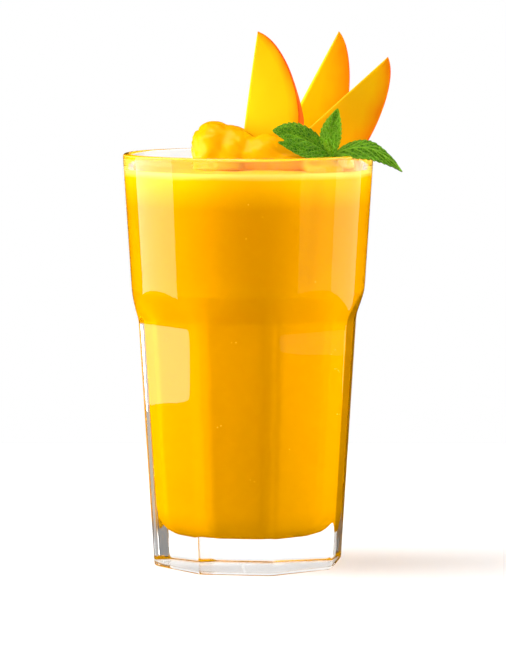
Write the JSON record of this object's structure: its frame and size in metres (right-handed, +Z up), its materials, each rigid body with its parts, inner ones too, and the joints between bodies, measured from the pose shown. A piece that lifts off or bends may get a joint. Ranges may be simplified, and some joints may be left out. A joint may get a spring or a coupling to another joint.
{
  "type": "mango smoothie",
  "caption": "Mango smoothie in a tall faceted tumbler, topped with thick mango puree, mango slices and a sprig of mint.",
  "frame": {"origin": "centre of the glass's flat foot", "axes": "+Z up along the glass's axis, -Y the front, +X to the right, where the mint is"},
  "size_m": [0.0972, 0.0878, 0.1873],
  "materials": {
    "glass": "clear pressed glass, polished",
    "smoothie": "opaque thick yellow-orange drink, wet",
    "puree": "thick glossy mango puree",
    "mango_flesh": "moist cut mango flesh, with orange-red skin on the curved side",
    "mint_leaf": "fresh quilted mint leaf"
  },
  "bodies": {
    "root": {"glass": "glass", "smoothie": "smoothie", "mango_puree": "puree", "mango_slice_1": "mango_flesh", "mango_slice_2": "mango_flesh", "mango_slice_3": "mango_flesh", "mint_sprig": "mint_leaf"}
  },
  "joints": []
}
